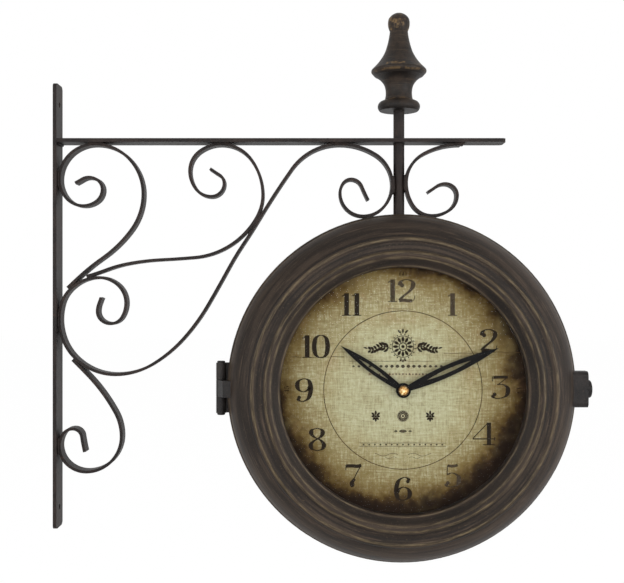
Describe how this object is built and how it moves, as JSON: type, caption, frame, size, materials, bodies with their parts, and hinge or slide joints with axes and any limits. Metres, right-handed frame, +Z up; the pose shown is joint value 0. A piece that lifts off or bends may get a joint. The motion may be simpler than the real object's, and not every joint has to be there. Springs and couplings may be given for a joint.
{
  "type": "station clock",
  "caption": "Double sided round clock on a scrolled iron wall bracket, with a hinged and latched front door, a dial on each face and turning hands.",
  "frame": {"origin": "midway between the two wall screws, on the wall face of the wall strip", "axes": "+X away from the wall along the arm, +Z up, the front dial looks along -Y and the rear dial along +Y"},
  "size_m": [0.4306, 0.1087, 0.4442],
  "materials": {
    "bracket_brown": "satin brown-black, rubbed at the edges",
    "case_brown": "satin brown with a bronze rub on the ridges",
    "finial_brown": "satin brown with a gold rub",
    "hinge_black": "satin black",
    "hand_black": "matte black",
    "dial_cream": "matte printed, aged",
    "clear_glass": "clear",
    "hardboard": "plain pressed board",
    "bright_steel": "plain zinc-plated",
    "brass": "worn",
    "movement_plastic": "fine grain",
    "spacer_plastic": "matte",
    "battery_wrap": "plain printed wrap"
  },
  "bodies": {
    "bracket_and_drum": {"wall_strip": "bracket_brown", "arm_bar": "bracket_brown", "long_scroll": "bracket_brown", "upper_scroll": "bracket_brown", "middle_scroll": "bracket_brown", "lower_scroll": "bracket_brown", "outer_scroll": "bracket_brown", "post": "bracket_brown", "finial": "finial_brown", "post_washer": "hinge_black", "saddle_plate": "bright_steel", "post_nuts": "hinge_black", "drum": "case_brown", "hinge_drum_leaf": "hinge_black", "hinge_pin": "hinge_black", "hinge_rivets": "hinge_black", "latch_keeper": "bright_steel", "rear_bezel_screws": "bright_steel", "rear_bezel": "case_brown", "rear_glass": "clear_glass", "rear_spacer_ring": "spacer_plastic", "rear_dial": "dial_cream", "rear_dial_board": "hardboard", "rear_pan": "bright_steel", "rear_dial_clips": "bright_steel", "rear_clip_screws": "bright_steel", "rear_movement_case": "movement_plastic", "rear_movement_cover": "movement_plastic", "rear_battery": "battery_wrap", "rear_bush_nut": "brass"},
    "front_door": {"front_bezel": "case_brown", "front_glass": "clear_glass", "front_spacer_ring": "spacer_plastic", "front_dial": "dial_cream", "front_dial_board": "hardboard", "front_pan": "bright_steel", "front_dial_clips": "bright_steel", "front_clip_screws": "bright_steel", "front_movement_case": "movement_plastic", "front_movement_cover": "movement_plastic", "front_battery": "battery_wrap", "front_bush_nut": "brass", "hinge_door_leaf": "hinge_black", "latch_plate": "hinge_black"},
    "latch": {"latch_knob": "hinge_black", "latch_hook": "bright_steel"},
    "front_minute": {"front_minute_arbor": "bright_steel", "front_minute_hand": "hand_black", "front_hand_nut": "brass", "front_setting_knob": "movement_plastic"},
    "front_hour": {"front_hour_tube": "movement_plastic", "front_hour_hand": "hand_black"},
    "rear_minute": {"rear_minute_arbor": "bright_steel", "rear_minute_hand": "hand_black", "rear_hand_nut": "brass", "rear_setting_knob": "movement_plastic"},
    "rear_hour": {"rear_hour_tube": "movement_plastic", "rear_hour_hand": "hand_black"}
  },
  "joints": [
    {"name": "door_swing", "type": "hinge", "parent": "bracket_and_drum", "child": "front_door", "pos_m": [0.1372, -0.018, -0.0654], "axis": [0, 0, -1], "range_deg": [0, 110]},
    {"name": "latch_turn", "type": "hinge", "parent": "front_door", "child": "latch", "pos_m": [0.4253, -0.0273, -0.0654], "axis": [1, 0, 0], "range_deg": [-60, 0]},
    {"name": "front_minute_turn", "type": "hinge", "parent": "front_door", "child": "front_minute", "pos_m": [0.2812, -0.04, -0.0654], "axis": [0, 1, 0], "continuous": true},
    {"name": "front_hour_turn", "type": "hinge", "parent": "front_door", "child": "front_hour", "pos_m": [0.2812, -0.04, -0.0654], "axis": [0, 1, 0], "continuous": true},
    {"name": "rear_minute_turn", "type": "hinge", "parent": "bracket_and_drum", "child": "rear_minute", "pos_m": [0.2812, 0.04, -0.0654], "axis": [0, -1, 0], "continuous": true},
    {"name": "rear_hour_turn", "type": "hinge", "parent": "bracket_and_drum", "child": "rear_hour", "pos_m": [0.2812, 0.04, -0.0654], "axis": [0, -1, 0], "continuous": true}
  ],
  "couplings": [
    {"joint": "front_hour_turn", "follows": "front_minute_turn", "ratio": 0.083333},
    {"joint": "rear_hour_turn", "follows": "rear_minute_turn", "ratio": 0.083333}
  ]
}
